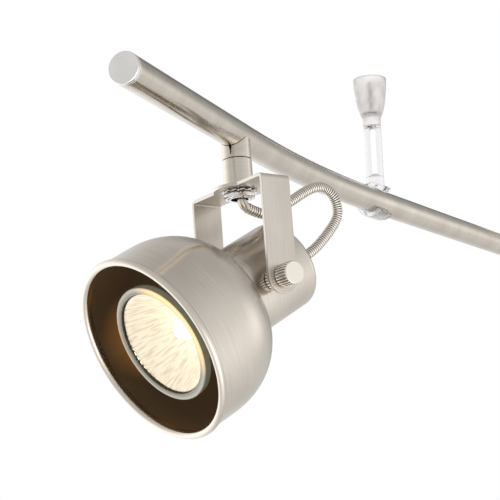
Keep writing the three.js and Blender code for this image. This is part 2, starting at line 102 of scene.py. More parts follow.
camera = bpy.data.objects.new("camera", bpy.data.cameras.new("camera"))
bpy.context.collection.objects.link(camera)
camera.data.lens = CAMERA_LENS
camera.data.sensor_width = 36
camera.data.clip_start = 0.01
yaw, pitch = math.radians(CAMERA_YAW), math.radians(CAMERA_PITCH)
look = Vector((math.cos(pitch) * math.cos(yaw), math.cos(pitch) * math.sin(yaw), math.sin(pitch)))
camera.matrix_world = (
    Matrix.Translation(STEM.translation + CAMERA_AT)
    @ look.to_track_quat("-Z", "Y").to_matrix().to_4x4()
    @ Matrix.Rotation(math.radians(CAMERA_ROLL), 4, "Z")
)
bpy.context.scene.camera = camera

# ---------------------------------------- materials


class Nodes:
    """A node tree with short ways to add nodes, link them and work out values."""

    def __init__(self, tree):
        self.tree = tree

    def add(self, kind, links=(), **values):
        node = self.tree.nodes.new(kind)
        for key, value in values.items():
            if hasattr(node, key):
                setattr(node, key, value)
            else:
                node.inputs[key.replace("_", " ")].default_value = value
        for socket, source in links:
            self.tree.links.new(source, node.inputs[socket])
        return node

    def calculate(self, operation, *terms):
        """A math node; each term is a number or an output of another node."""
        node = self.add("ShaderNodeMath", operation=operation)
        for socket, term in zip(node.inputs, terms):
            if isinstance(term, (int, float)):
                socket.default_value = term
            else:
                self.tree.links.new(term, socket)
        return node.outputs["Value"]

    def with_vector(self, operation, source, constant, output="Value"):
        """A vector math node on another node's output and a constant vector."""
        node = self.add("ShaderNodeVectorMath", [(0, source)], operation=operation)
        node.inputs[1].default_value = constant
        return node.outputs[output]

    def ranged(self, source, low, high, source_low=0.3, source_high=0.7, curve="LINEAR"):
        node = self.add("ShaderNodeMapRange", [("Value", source)], interpolation_type=curve)
        node.inputs["From Min"].default_value = source_low
        node.inputs["From Max"].default_value = source_high
        node.inputs["To Min"].default_value = low
        node.inputs["To Max"].default_value = high
        return node.outputs["Result"]


class Shader(Nodes):
    """A node material with one Principled shader."""

    def __init__(self, name, **values):
        self.material = bpy.data.materials.new(name)
        self.material.use_nodes = True
        super().__init__(self.material.node_tree)
        self.bsdf = self.tree.nodes["Principled BSDF"]
        for socket, value in values.items():
            self.bsdf.inputs[socket.replace("_", " ")].default_value = value

    def join(self, source, socket):
        self.tree.links.new(source, self.bsdf.inputs[socket])

    def follow_grain(self):
        """Turns the stretched highlights to lie across the grain."""
        tangent = self.add("ShaderNodeTangent", direction_type="UV_MAP", uv_map=GRAIN)
        self.join(tangent.outputs["Tangent"], "Tangent")

    def stretched_noise(self, scale, detail=3.0, uv=True):
        """Noise whose cells are scaled per metre along the grain, across it and out of the surface."""
        if uv:
            where = self.add("ShaderNodeUVMap", uv_map=GRAIN).outputs["UV"]
        else:
            where = self.add("ShaderNodeTexCoord").outputs["Object"]
        mapped = self.add("ShaderNodeMapping", [("Vector", where)])
        mapped.inputs["Scale"].default_value = scale
        noise = self.add("ShaderNodeTexNoise", [("Vector", mapped.outputs["Vector"])])
        noise.inputs["Scale"].default_value = 1.0
        noise.inputs["Detail"].default_value = detail
        return noise.outputs["Fac"]

    def tinted(self, source, first, second):
        mix = self.add("ShaderNodeMix", [("Factor", source)], data_type="RGBA")
        colour_a, colour_b, colour_result = 6, 7, 2
        mix.inputs[colour_a].default_value = (*first, 1)
        mix.inputs[colour_b].default_value = (*second, 1)
        return mix.outputs[colour_result]

    def bump(self, source, strength, distance):
        node = self.add("ShaderNodeBump", [("Height", source)])
        node.inputs["Strength"].default_value = strength
        node.inputs["Distance"].default_value = distance
        self.join(node.outputs["Normal"], "Normal")


def brushed_metal(name, dark, light, roughness, across, depth=0.00002, spread=0.07):
    """Plated metal brushed along U, with a number of lines per metre across it."""
    shader = Shader(name, Metallic=1.0, Anisotropic=0.55, Anisotropic_Rotation=0.25)
    shader.follow_grain()
    lines = shader.stretched_noise((45, across, 1), detail=4.0)
    broad = shader.stretched_noise((25, 60, 1), detail=2.0)
    streaks = shader.calculate("ADD", lines, broad)
    shader.join(shader.tinted(shader.ranged(streaks, 0, 1, 0.75, 1.25), dark, light), "Base Color")
    shader.join(shader.ranged(lines, roughness - spread, roughness + spread), "Roughness")
    shader.bump(lines, 0.35, depth)
    return shader.material


def polished_metal(name, dark, light, roughness):
    shader = Shader(name, Metallic=1.0)
    smears = shader.stretched_noise((160, 160, 160), detail=3.0, uv=False)
    shader.join(shader.tinted(shader.ranged(smears, 0, 1), dark, light), "Base Color")
    shader.join(shader.ranged(smears, roughness, roughness + 0.06), "Roughness")
    return shader.material


def clear_material(name, colour, roughness, ior, waviness):
    shader = Shader(name, Base_Color=(*colour, 1), IOR=ior, Transmission_Weight=1.0)
    cloud = shader.stretched_noise((220, 220, 220), detail=2.0, uv=False)
    shader.join(shader.ranged(cloud, roughness, roughness * 2.2), "Roughness")
    shader.bump(cloud, 0.25, waviness)
    return shader.material


def matte_material(name, dark, light, roughness, grain=900, depth=0.00005):
    shader = Shader(name)
    speck = shader.stretched_noise((grain, grain, grain), detail=4.0, uv=False)
    shader.join(shader.tinted(shader.ranged(speck, 0, 1), dark, light), "Base Color")
    shader.join(shader.ranged(speck, roughness - 0.08, roughness + 0.08), "Roughness")
    shader.bump(speck, 0.3, depth)
    return shader.material


SATIN = brushed_metal("satin_nickel", (0.58, 0.535, 0.475), (0.66, 0.615, 0.555), 0.22, across=1900,
                      depth=0.00001, spread=0.05)
SATIN_RAIL = brushed_metal("satin_nickel_rail", (0.54, 0.495, 0.435), (0.66, 0.615, 0.555), 0.17,
                           across=1500, depth=0.000003, spread=0.03)
SATIN_STRIP = brushed_metal("satin_nickel_strip", (0.58, 0.535, 0.48), (0.68, 0.635, 0.58), 0.36,
                            across=1400)
SATIN_PLAIN = polished_metal("satin_nickel_plain", (0.56, 0.51, 0.44), (0.66, 0.60, 0.53), 0.24)
CHROME = polished_metal("polished_nickel", (0.78, 0.77, 0.76), (0.84, 0.83, 0.82), 0.05)
CLEAR = clear_material("clear_plastic", (0.91, 0.895, 0.91), 0.08, 1.46, 0.0002)
CLEAR_CUP = clear_material("clear_plastic_cup", (0.95, 0.925, 0.915), 0.28, 1.46, 0.0004)
GLASS = clear_material("lamp_glass", (0.97, 0.985, 0.955), 0.015, 1.5, 0.0)
CERAMIC = matte_material("lamp_ceramic", (0.62, 0.60, 0.54), (0.74, 0.72, 0.67), 0.6)
INSULATION = matte_material("lead_insulation", (0.78, 0.78, 0.76), (0.86, 0.86, 0.84), 0.45)


def falloff(shader, centre, reach):
    """1 at a point of the piece, given in millimetres of its own frame, fading to 0 at a distance."""
    where = shader.add("ShaderNodeTexCoord").outputs["Object"]
    apart = shader.with_vector("DISTANCE", where, Vector(centre) * MM)
    return shader.ranged(apart, 1, 0, 0, reach * MM)


def lining_material():
    """The dark brown inside of the shade, brushed round its axis, with the lamp's warm stray light painted
    on as a glow.
    """
    shader = Shader("shade_lining", Metallic=0.5, Anisotropic=0.4, Emission_Strength=0.7)
    shader.follow_grain()
    lines = shader.stretched_noise((40, 2600, 1), detail=4.0)
    broad = shader.stretched_noise((30, 70, 1), detail=3.0)
    tint = shader.tinted(shader.ranged(broad, 0, 1), (0.075, 0.050, 0.026), (0.125, 0.080, 0.038))
    shader.join(tint, "Base Color")
    shader.join(shader.ranged(lines, 0.30, 0.46), "Roughness")
    shader.bump(lines, 0.3, 0.00002)
    # painted light: an orange glow of the lamp's stray light beside the lamp, and a faint glow over the
    # whole inside
    glow = falloff(shader, (34, -2.4, 32.5), 21)
    shader.join(shader.tinted(glow, (0.034, 0.021, 0.011), (0.34, 0.14, 0.028)), "Emission Color")
    return shader.material


def facet_material():
    """Lit mirror facets with short radial dashes, much brighter round the filament's reflection."""
    shader = Shader("lamp_facets", Roughness=0.2, Base_Color=(0.3, 0.27, 0.2, 1))
    where = shader.add("ShaderNodeTexCoord").outputs["Object"]
    split = shader.add("ShaderNodeSeparateXYZ", [(0, where)])
    turn = shader.calculate("ARCTAN2", split.outputs["Y"], split.outputs["X"])
    polar = shader.add("ShaderNodeCombineXYZ", [("X", turn), ("Y", split.outputs["Z"])])
    stretched = shader.add("ShaderNodeMapping", [("Vector", polar.outputs["Vector"])])
    stretched.inputs["Scale"].default_value = (19, 170, 1)
    noise = shader.add("ShaderNodeTexNoise", [("Vector", stretched.outputs["Vector"])])
    noise.inputs["Scale"].default_value = 1.0
    dashes = shader.ranged(noise.outputs["Fac"], 0, 1, 0.47, 0.62)
    shader.join(shader.tinted(dashes, (1.0, 0.87, 0.69), (0.66, 0.53, 0.38)), "Emission Color")
    hot = falloff(shader, (-11, -4, 37), 21)
    everywhere, at_filament = 0.68, 3.0
    squared = shader.calculate("MULTIPLY", hot, hot)
    strength = shader.calculate("MULTIPLY_ADD", squared, at_filament, everywhere)
    shader.join(strength, "Emission Strength")
    return shader.material


def lamp_rim_material():
    """The thick glass rim: grey-green, with golden light caught in the part towards one side."""
    shader = Shader("lamp_rim_glass", Roughness=0.10, Emission_Strength=0.85)
    where = shader.add("ShaderNodeTexCoord").outputs["Object"]
    across = shader.with_vector("MULTIPLY", where, (1, 1, 0), output="Vector")
    radius = shader.add("ShaderNodeVectorMath", [(0, across)], operation="LENGTH").outputs["Value"]
    outward = shader.ranged(radius, 0, 1, 0.0229, 0.0246)
    shader.join(shader.tinted(outward, (0.30, 0.28, 0.21), (0.70, 0.69, 0.62)), "Base Color")
    lit_side = math.radians(200)
    side = shader.with_vector("DOT_PRODUCT", where, (math.cos(lit_side), math.sin(lit_side), 0))
    caught = shader.ranged(side, 0, 1, 0.010, 0.020)
    shader.join(shader.tinted(caught, (0.05, 0.045, 0.03), (0.92, 0.56, 0.14)), "Emission Color")
    return shader.material


def capsule_material():
    shader = Shader("lamp_capsule_glow", Roughness=0.25, Emission_Strength=5.0)
    patches = shader.stretched_noise((90, 90, 90), detail=2.0, uv=False)
    tint = shader.tinted(shader.ranged(patches, 0, 1, 0.35, 0.65), (1.0, 0.92, 0.76), (1.0, 0.97, 0.9))
    shader.join(tint, "Base Color")
    shader.join(tint, "Emission Color")
    return shader.material


def groove_shaded_material():
    """Nickel with shade painted into its grooves, near black at their bottoms, for the wire's turns and the
    knurls.
    """
    shader = Shader("nickel_groove_shaded", Metallic=1.0, Roughness=0.32)
    groove = shader.add("ShaderNodeAttribute", attribute_name="groove").outputs["Fac"]
    # painted shade: the colour goes from light on the crests to near black deep in the grooves
    shade = shader.ranged(groove, 0, 1, 0.15, 0.8)
    shader.join(shader.tinted(shade, (0.86, 0.81, 0.74), (0.035, 0.028, 0.02)), "Base Color")
    return shader.material


LINING = lining_material()
FACETS = facet_material()
CAPSULE = capsule_material()
RIM_FRONT_GLASS = lamp_rim_material()
LAMP_SEAM = matte_material("lamp_seam", (0.05, 0.04, 0.025), (0.09, 0.075, 0.05), 0.3)
LAMP_BODY = matte_material("lamp_coated_glass", (0.60, 0.62, 0.46), (0.70, 0.72, 0.56), 0.16, 300, 0.0)
GROOVE_SHADED = groove_shaded_material()

# ---------------------------------------- mesh building


def even_normals(piece):
    """Lets large flat faces keep their own normal next to narrow rounded edges."""
    modifier = piece.modifiers.new("even", "WEIGHTED_NORMAL")
    modifier.keep_sharp = True
    bpy.context.view_layer.update()
    evaluated = piece.evaluated_get(bpy.context.evaluated_depsgraph_get())
    piece.data = bpy.data.meshes.new_from_object(evaluated)
    piece.modifiers.clear()


def place(name, mesh, where, material, body, nodes=(), sharp=38):
    """Links a mesh given in millimetres of its own frame, and says what it rides on and replaces."""
    mesh.transform(Matrix.Scale(MM, 4))
    mesh.polygons.foreach_set("use_smooth", [True] * len(mesh.polygons))
    mesh.set_sharp_from_angle(angle=math.radians(sharp))
    for entry in material if isinstance(material, (list, tuple)) else [material]:
        mesh.materials.append(entry)
    piece = bpy.data.objects.new(name, mesh)
    bpy.context.collection.objects.link(piece)
    even_normals(piece)
    piece.matrix_world = where
    if body:
        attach(piece, body)
    if nodes:
        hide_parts(*nodes)
    return piece


def distances(points):
    steps = np.linalg.norm(np.diff(points, axis=0), axis=1)
    return np.concatenate([[0], np.cumsum(steps)])


def grid_mesh(name, points, wrap_rows=False):
    """A mesh of quads over closed rows of points, with metric grain coordinates: U runs along a row."""
    points = np.asarray(points, float)
    rows, columns = points.shape[:2]
    widest = points[np.argmax([distances(row)[-1] for row in points])]
    around = distances(np.vstack([widest, widest[:1]])) * MM
    down = distances(np.vstack([points[:, 0], points[:1, 0]])) * MM
    mesh = bpy.data.meshes.new(name)
    build = bmesh.new()
    vertices = [[build.verts.new(point) for point in row] for row in points]
    layer = build.loops.layers.uv.new(GRAIN)
    for r in range(rows if wrap_rows else rows - 1):
        for c in range(columns):
            corners = [(r, c), (r, c + 1), (r + 1, c + 1), (r + 1, c)]
            face = build.faces.new([vertices[a % rows][b % columns] for a, b in corners])
            for loop, (a, b) in zip(face.loops, corners):
                loop[layer].uv = (around[b], down[a])
    bmesh.ops.remove_doubles(build, verts=build.verts, dist=1e-4)
    bmesh.ops.recalc_face_normals(build, faces=build.faces)
    build.to_mesh(mesh)
    build.free()
    return mesh


def soften(outline, radius=0.3, steps=3, closed=False):
    """Rounds the corners of an outline, as far as its edges allow."""
    points = [Vector(p) for p in outline]
    count = len(points)
    result = []
    for i, corner in enumerate(points):
        if not closed and i in (0, count - 1):
            result.append(tuple(corner))
            continue
        back, ahead = points[i - 1] - corner, points[(i + 1) % count] - corner
        if back.angle(ahead, math.pi) > math.radians(165):
            result.append(tuple(corner))
            continue
        reach = min(radius, back.length * 0.45, ahead.length * 0.45)
        start, end = corner + back.normalized() * reach, corner + ahead.normalized() * reach
        for k in range(steps + 1):
            t = k / steps
            point = start * (1 - t) ** 2 + corner * 2 * t * (1 - t) + end * t ** 2
            result.append(tuple(point))
    return result


def angles_round(sides):
    return np.linspace(0, 2 * math.pi, sides, endpoint=False)


def ring_row(radius, height, sides):
    """A ring of points about Z; radius is a number, or one value for each point."""
    angles = angles_round(sides)
    return np.stack([radius * np.cos(angles), radius * np.sin(angles), np.full(sides, height)], 1)


def lathe_rows(outline, sides):
    return [ring_row(radius, height, sides) for radius, height in outline]


def lathe(name, outline, where, material, body, nodes=(), sides=96, round_by=0.25):
    """A turned piece from an outline of (radius, height); one that leaves the axis out closes on itself."""
    closed = outline[0][0] > 0
    outline = soften(outline, round_by, closed=closed) if round_by else outline
    mesh = grid_mesh(name, lathe_rows(outline, sides), wrap_rows=closed)
    return place(name, mesh, where, material, body, nodes)


def sweep_frames(centres):
    """Parallel-transported normals and binormals along a line of points."""
    centres = np.asarray(centres, float)
    tangents = np.gradient(centres, axis=0)
    tangents /= np.linalg.norm(tangents, axis=1)[:, None]
    normal = np.cross(tangents[0], (0.0, 0.0, 1.0) if abs(tangents[0][2]) < 0.9 else (1.0, 0.0, 0.0))
    normal /= np.linalg.norm(normal)
    normals = []
    for tangent in tangents:
        normal = normal - tangent * (normal @ tangent)
        normal /= np.linalg.norm(normal)
        normals.append(normal)
    normals = np.array(normals)
    return centres, normals, np.cross(tangents, normals)


def sweep_rows(centres, radius, sides):
    """Rings round a line of points; radius is a number, or a function of arc length and angle."""
    centres, normals, binormals = sweep_frames(centres)
    along = distances(centres)
    angles = angles_round(sides)
    rows = []
    for centre, n, b, s in zip(centres, normals, binormals, along):
        r = radius(s, angles) if callable(radius) else np.full(sides, radius)
        rows.append(centre + r[:, None] * (np.cos(angles)[:, None] * n + np.sin(angles)[:, None] * b))
    return rows


def capped(rows):
    """Closes a stack of rings with a pole at each end."""
    first, last = np.mean(rows[0], axis=0), np.mean(rows[-1], axis=0)
    return [np.tile(first, (len(rows[0]), 1)), *rows, np.tile(last, (len(rows[0]), 1))]


def smooth_route(points, spacing):
    """A Catmull-Rom curve through points, resampled evenly."""
    points = [Vector(p) for p in points]
    padded = [points[0] * 2 - points[1], *points, points[-1] * 2 - points[-2]]
    fine = []
    for a, b, c, d in zip(padded, padded[1:], padded[2:], padded[3:]):
        for k in range(24):
            t = k / 24
            fine.append(0.5 * ((2 * b) + (c - a) * t + (2 * a - 5 * b + 4 * c - d) * t ** 2
                               + (3 * b - a - 3 * c + d) * t ** 3))
    fine.append(points[-1])
    fine = np.array(fine)
    along = distances(fine)
    wanted = np.linspace(0, along[-1], max(2, int(round(along[-1] / spacing)) + 1))
    return np.stack([np.interp(wanted, along, fine[:, i]) for i in range(3)], axis=1)


def plate(name, outline_sets, thickness, bevel=0.2, resolution=3):
    """A flat plate in X and Y with rounded edges, from closed outlines: the outside one, then the holes."""
    curve = bpy.data.curves.new(name, "CURVE")
    curve.dimensions = "2D"
    curve.fill_mode = "BOTH"
    curve.extrude = thickness / 2 - bevel
    curve.bevel_depth = bevel
    curve.bevel_resolution = resolution
    curve.offset = -bevel
    for outline in outline_sets:
        spline = curve.splines.new("POLY")
        spline.points.add(len(outline) - 1)
        for point, (x, y) in zip(spline.points, outline):
            point.co = (x, y, 0, 1)
        spline.use_cyclic_u = True
    holder = bpy.data.objects.new(name, curve)
    mesh = bpy.data.meshes.new_from_object(holder)
    bpy.data.objects.remove(holder)
    bpy.data.curves.remove(curve)
    build = bmesh.new()
    build.from_mesh(mesh)
    bmesh.ops.remove_doubles(build, verts=build.verts, dist=1e-3)
    bmesh.ops.recalc_face_normals(build, faces=build.faces)
    build.to_mesh(mesh)
    build.free()
    return mesh


def circle(radius, count, x=0, y=0, start=0.0, sweep=2 * math.pi):
    full = abs(sweep) >= 2 * math.pi - 1e-6
    angles = [start + sweep * k / (count if full else count - 1) for k in range(count)]
    return [(x + radius * math.cos(a), y + radius * math.sin(a)) for a in angles]


# ---------------------------------------- the rail
RAIL_RADIUS, RAIL_WALL = 6.35, 1.0
RAIL_START, RAIL_END = -99.6, 533.6
BEND_START, BEND_LENGTH, BEND_RADIUS = 15, 143, 800
FEED_AT, SUPPORT_AT = 480, 158.7
STEM_RADIUS, STEM_BORE = 6.35, 5.2


def rail_point(s):
    turn = max(0, min(s - BEND_START, BEND_LENGTH)) / BEND_RADIUS
    before, after = min(s, BEND_START), max(s - BEND_START - BEND_LENGTH, 0)
    x = before + BEND_RADIUS * math.sin(turn) + after * math.cos(turn)
    y = -BEND_RADIUS * (1 - math.cos(turn)) - after * math.sin(turn)
    return x, y, -turn


def on_rail(s):
    """The frame on the rail's centreline at an arc length: X along the rail, Z up."""
    x, y, heading = rail_point(s)
    return moved(STEM, x, y) @ Matrix.Rotation(heading, 4, "Z")


def rail_tube():
    stations = np.concatenate([
        [RAIL_START, RAIL_START + 0.4], np.arange(-90, 15, 15), np.arange(15, 160, 2.5),
        np.arange(165, 530, 15), [RAIL_END - 0.4, RAIL_END]])
    centres = [(*rail_point(s)[:2], 0) for s in stations]
    sides, chamfer = 96, 0.2
    outer = sweep_rows(centres, RAIL_RADIUS, sides)
    inner = sweep_rows(centres, RAIL_RADIUS - RAIL_WALL, sides)
    ends = sweep_rows(centres, RAIL_RADIUS - chamfer, sides)
    outer[0], outer[-1] = ends[0], ends[-1]
    mesh = grid_mesh("rail_detail", [*outer, *inner[::-1]], wrap_rows=True)
    place("rail_detail", mesh, STEM, SATIN_RAIL, "rail", ["rail_tube"])


def end_cap(name, s, outward):
    r, plug = RAIL_RADIUS, RAIL_RADIUS - RAIL_WALL - 0.3
    outline = [
        (0, -7), (plug, -7), (plug, 0.15), (r - 0.12, 0.15), (r - 0.12, 0.35), (r + 0.02, 0.5),
        (r + 0.02, 1.1), (r - 0.5, 1.2), (r - 0.5, 1.5), (r + 0.02, 1.6), (r, 2.15),
        (r - 0.25, 2.4), (r - 0.5, 2.4), (0, 2.4)]
    where = turned_about(on_rail(s), "Y", 90 * outward)
    lathe(name + "_detail", outline, where, CHROME, "rail", [name], round_by=0.08)


def saddle(name, where, node):
    """A short tube coped to the rail, with a narrow V slit on the side along the rail."""
    outer, inner, cope, edge = STEM_RADIUS, STEM_BORE, 6.5, 0.12
    foot_at, horn_at = -11.5, -2.6
    slit_half, slit_foot, slit_low, slit_high = 0.72, 0.16, -10.4, -5.2
    slit_steps = (slit_foot, slit_foot + 0.03, 0.4, slit_half, slit_half + 0.04)
    near = [math.pi + side * math.asin(w / outer) for w in slit_steps for side in (-1, 1)]
    angles = np.array(sorted([*angles_round(180), *near]))

    def top(angle, radius):
        across = radius * math.sin(angle)
        height = min(horn_at, -math.sqrt(max(cope ** 2 - across ** 2, 0)))
        from_slit = abs(outer * math.sin(angle))
        if math.cos(angle) < 0 and from_slit <= slit_half:
            rise = max(0, (from_slit - slit_foot) / (slit_half - slit_foot))
            height = min(height, slit_low + rise * (slit_high - slit_low))
        return height

    def ring(radius, heights):
        return [(radius * math.cos(a), radius * math.sin(a), h) for a, h in zip(angles, heights)]

    tops_out = np.array([top(a, outer) for a in angles])
    tops_in = np.minimum(tops_out, [top(a, inner) for a in angles])
    foot = np.full(len(angles), foot_at)
    rows = [
        ring(inner, foot), ring(outer - edge, foot), ring(outer, foot + edge),
        ring(outer, tops_out - edge), ring(outer - edge, tops_out), ring(inner, tops_in)]
    mesh = grid_mesh(name, rows, wrap_rows=True)
    place(name, mesh, where, SATIN, "rail", [node])


# ---------------------------------------- stem, yoke and conduit
YOKE_TOP, YOKE_HALF, STRIP, STRIP_WIDTH = 24.0, 26.05, 1.5, 14.4
YOKE_BEND, SHAFT_HOLE = 2.2, 2.3
NIPPLE_RADIUS, NIPPLE_BORE, NIPPLE_HOLE, NIPPLE_END = 4.9, 3.8, 5.2, 29.0


def stem_sleeve():
    outline = [(STEM_BORE, -23.7), (STEM_RADIUS, -23.7), (STEM_RADIUS, -11.75), (STEM_BORE, -11.75)]
    lathe("stem_sleeve_detail", outline, STEM, SATIN, "swivel", ["stem_sleeve"],
          round_by=0.35)


def thread_outline(radius, bore, low, high, pitch=1.0, depth=0.35):
    """A tube's outline with ring grooves that stand for its thread."""
    outline = [(bore, low), (radius - depth, low)]
    h = low + 0.4
    while h + pitch < high - 0.3:
        outline += [(radius - depth, h), (radius, h + pitch * 0.35), (radius, h + pitch * 0.6)]
        h += pitch
    return outline + [(radius - depth, high), (bore, high)]


def yoke():
    """A bent strip: its flat outline with a wide round middle is folded down into two legs."""
    leg_reach = PIVOT_DROP - YOKE_TOP - STRIP / 2
    neutral = YOKE_BEND - STRIP / 2
    fold_at = YOKE_HALF - YOKE_BEND
    arc = neutral * math.pi / 2
    hole_at = fold_at + arc + (leg_reach - neutral)
    half, disc = STRIP_WIDTH / 2, 11.0
    where_meets = math.sqrt(disc ** 2 - half ** 2)
    meet = math.asin(half / disc)
    right = [(where_meets + 2.5, -half), (hole_at - 1, -half)]
    right += circle(half, 28, hole_at, 0, -math.pi / 2, math.pi)
    right += [(hole_at - 1, half), (where_meets + 2.5, half)]
    upper = circle(disc, 24, 0, 0, meet, math.pi - 2 * meet)
    left = [(-x, -y) for x, y in right]
    lower = [(-x, -y) for x, y in upper]
    outline = right + upper + left + lower
    holes = [circle(NIPPLE_HOLE, 48), circle(SHAFT_HOLE, 28, hole_at), circle(SHAFT_HOLE, 28, -hole_at)]
    mesh = plate("yoke_detail", [outline, *holes], STRIP, bevel=0.22)
    build = bmesh.new()
    build.from_mesh(mesh)
    cuts = [side * (fold_at + arc * k / 8) for side in (-1, 1) for k in range(-2, 11)]
    cuts += [side * x for side in (-1, 1) for x in np.arange(fold_at + 10, hole_at - 4, 6)]
    for x in cuts:
        everything = build.verts[:] + build.edges[:] + build.faces[:]
        bmesh.ops.bisect_plane(build, geom=everything, plane_co=(x, 0, 0), plane_no=(1, 0, 0))
    layer = build.loops.layers.uv.new(GRAIN)
    for face in build.faces:
        for loop in face.loops:
            loop[layer].uv = (loop.vert.co.x * MM, (loop.vert.co.y + loop.vert.co.z) * MM)
    for vertex in build.verts:
        x, y, z = vertex.co
        side, x = (1, x) if x >= 0 else (-1, -x)
        if x > fold_at:
            angle = min((x - fold_at) / neutral, math.pi / 2)
            beyond = max(0, x - fold_at - arc)
            reach = neutral + z
            vertex.co = Vector((
                side * (fold_at + reach * math.sin(angle)), y,
                -neutral + reach * math.cos(angle) - beyond))
    bmesh.ops.recalc_face_normals(build, faces=build.faces)
    build.to_mesh(mesh)
    build.free()
    place("yoke_detail", mesh, moved(SWIVEL, z=-YOKE_TOP - STRIP / 2), SATIN_STRIP, "swivel",
          ["yoke"])


def lock_washer():
    """An external-tooth washer with slightly twisted teeth."""
    teeth, outer, root = 14, 7.75, 6.5
    outline = []
    for k in range(teeth):
        centre = 2 * math.pi * k / teeth
        for offset, radius in ((-0.16, root), (-0.11, outer), (0.11, outer), (0.16, root)):
            outline.append((radius * math.cos(centre + offset), radius * math.sin(centre + offset)))
    mesh = plate("lock_washer_detail", [outline, circle(NIPPLE_HOLE, 48)], 0.5, bevel=0.06, resolution=1)
    for vertex in mesh.vertices:
        x, y, _ = vertex.co
        radius = math.hypot(x, y)
        phase = (math.atan2(y, x) * teeth / (2 * math.pi) + 0.5) % 1 - 0.5
        if radius > root - 0.1:
            vertex.co.z += 0.55 * phase * (radius - root + 0.1)
    place("lock_washer_detail", mesh, moved(SWIVEL, z=-26.2), CHROME, "swivel", ["lock_washer"])


def hex_nut(name, where, body, flats, low, high, turn, node):
    """A nut whose faces are the hexagon cut by the two cones of its chamfers."""
    sides, bore, face_share, cone_slope = 144, 5.15, 0.97, 1.9
    fold = (angles_round(sides) - turn) % (math.pi / 3) - math.pi / 6
    hexagon = flats / 2 / np.cos(fold)
    rows = []
    for h in (low, low + 0.12, low + 0.35, (low + high) / 2, high - 0.35, high - 0.12, high):
        cone = flats / 2 * face_share + min(h - low, high - h) * cone_slope
        rows.append(ring_row(np.minimum(hexagon, cone), h, sides))
    for radius, h in ((bore + 0.1, high), (bore, high - 0.2), (bore, low + 0.2), (bore + 0.1, low)):
        rows.append(ring_row(radius, h, sides))
    mesh = grid_mesh(name, rows, wrap_rows=True)
    place(name, mesh, where, CHROME, body, [node], sharp=28)


# How far behind the stem, and how high from the rail's centreline
FERRULE_ROUTE = [
    (1.1, -25.6), (1.1, -27.4), (1.2, -29.2), (1.9, -31.0), (3.4, -32.2), (5.2, -32.9), (7.0, -33.4)]
CONDUIT_ROUTE = [
    (3.6, -32.3), (5.4, -33.0), (7.4, -33.5), (9.8, -34.1), (12.6, -34.3), (16.0, -33.6),
    (20.0, -31.7), (24.4, -29.1),
    (28.8, -26.5), (33.0, -23.9), (37.2, -21.6), (41.4, -19.9), (45.6, -19.5), (49.2, -20.9),
    (51.9, -23.7), (53.2, -27.4), (53.0, -31.3), (51.2, -35.0), (48.4, -38.4), (45.4, -41.6),
    (42.2, -44.7), (38.8, -47.6), (35.2, -50.1), (31.4, -52.3), (27.6, -54.45), (23.6, -56.7)]


def in_yoke_plane(behind, z):
    return (0, -behind, z)


def conduit_ferrule():
    centres = smooth_route([in_yoke_plane(*p) for p in FERRULE_ROUTE], 0.4)
    rows = sweep_rows(centres, 2.05, 40)
    mesh = grid_mesh("conduit_ferrule_detail", capped(rows))
    place("conduit_ferrule_detail", mesh, SWIVEL, SATIN_PLAIN, "swivel", ["conduit_ferrule"])


def flex_conduit():
    """Round wire wound into a close coil from the stem's mouth to the rear cover, in short lengths."""
    pitch, radius, rings, sides, lengths = 1.12, 2.35, 9, 28, 24
    wire = pitch / 2
    centres = smooth_route([in_yoke_plane(*p) for p in CONDUIT_ROUTE], pitch / rings)

    def depth(s, angles):
        phase = (s / pitch - angles / (2 * math.pi)) % 1 - 0.5
        return wire * (1 - np.sqrt(np.clip(1 - (2 * phase) ** 2, 0, 1)))

    rows = sweep_rows(centres, lambda s, angles: radius - depth(s, angles), sides)
    cuts = np.linspace(0, len(centres) - 1, lengths + 1).astype(int)
    for number, (first, last) in enumerate(zip(cuts[:-1], cuts[1:]), 1):
        name = f"flex_conduit_{number:02d}"
        mesh = grid_mesh(name, capped(rows[first:last + 1]))
        points = np.array([vertex.co for vertex in mesh.vertices])
        nearest = np.array([np.min(np.linalg.norm(centres - point, axis=1)) for point in points])
        # the square root widens the painted shade in the wire's grooves
        store_grooves(mesh, np.sqrt(np.clip((radius - nearest) / wire, 0, 1)))
        piece = place(name, mesh, SWIVEL, GROOVE_SHADED, None, ["flex_conduit"], sharp=80)
        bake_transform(piece)


def store_grooves(mesh, depths):
    """Stores how deep each vertex lies, from 0 on a crest to 1 in a groove."""
    attribute = mesh.attributes.new("groove", "FLOAT", "POINT")
    attribute.data.foreach_set("value", np.clip(depths, 0, 1).astype(np.float32))


# ---------------------------------------- the head
BARREL_RADIUS, BARREL_WALL, BARREL_FRONT, BARREL_BACK = 19.5, 1.3, 13.6, -24.2
SHADE_RADIUS, SHADE_WALL, SHOULDER, NECK, NECK_RADIUS = 39.2, 1.0, 40.0, 13.9, 20.2
RIM_FRONT, RIM_ROLL = 57.2, 1.55


def barrel():
    outer, inner, edge, bend, hole = BARREL_RADIUS, BARREL_RADIUS - BARREL_WALL, 0.3, 3, 8
    back = [(outer - bend * (1 - math.cos(a)), BARREL_BACK + bend * (1 - math.sin(a)))
            for a in np.linspace(0, math.pi / 2, 10)]
    inside = BARREL_BACK + BARREL_WALL
    outline = [
        (outer, BARREL_FRONT - edge), *back, (hole, BARREL_BACK), (hole, inside), (outer - bend, inside),
        (inner, BARREL_BACK + bend), (inner, BARREL_FRONT), (outer - edge, BARREL_FRONT)]
    mesh = grid_mesh("barrel_detail", lathe_rows(outline, 144), wrap_rows=True)
    place("barrel_detail", mesh, HEAD, SATIN, "head", ["barrel"])


